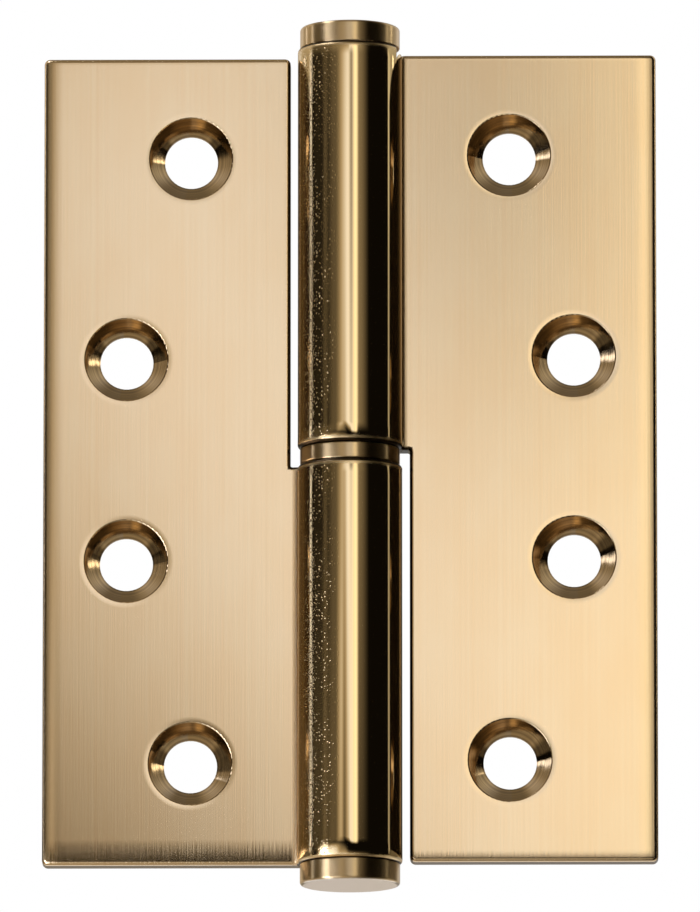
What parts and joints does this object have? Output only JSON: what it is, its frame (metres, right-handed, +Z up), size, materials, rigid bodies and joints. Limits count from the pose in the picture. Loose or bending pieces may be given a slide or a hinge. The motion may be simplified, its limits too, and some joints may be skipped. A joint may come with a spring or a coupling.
{
  "type": "lift-off hinge",
  "caption": "Polished brass lift-off butt hinge: flat countersunk leaves on half-length knuckles, a fixed pin, a loose washer and turned end caps; the door leaf swings and lifts off.",
  "frame": {"origin": "on the pin axis, halfway between the ends of the two caps", "axes": "+Z up along the pin, the way the door leaf lifts off; +X out along the door leaf; +Y behind the leaves, into the post and the door edge"},
  "size_m": [0.0762, 0.013, 0.108],
  "materials": {
    "polished_brass": "drawn and polished, fine vertical brushing on the leaves, mirror-bright knuckles",
    "turned_brass": "lathe-turned, bright, with fine turning lines",
    "pin_steel": "ground steel"
  },
  "bodies": {
    "frame": {"frame_leaf": "polished_brass", "pin": "pin_steel", "lower_cap": "turned_brass"},
    "ring": {"washer": "turned_brass"},
    "door": {"door_leaf": "polished_brass", "upper_cap": "turned_brass"}
  },
  "joints": [
    {"name": "leaf_swing", "type": "hinge", "parent": "frame", "child": "ring", "pos_m": [0, 0, 0], "axis": [0, 0, 1], "range_deg": [-180, 120]},
    {"name": "lift_off", "type": "slide", "parent": "ring", "child": "door", "axis": [0, 0, 1], "range_m": [0, 0.048]}
  ]
}
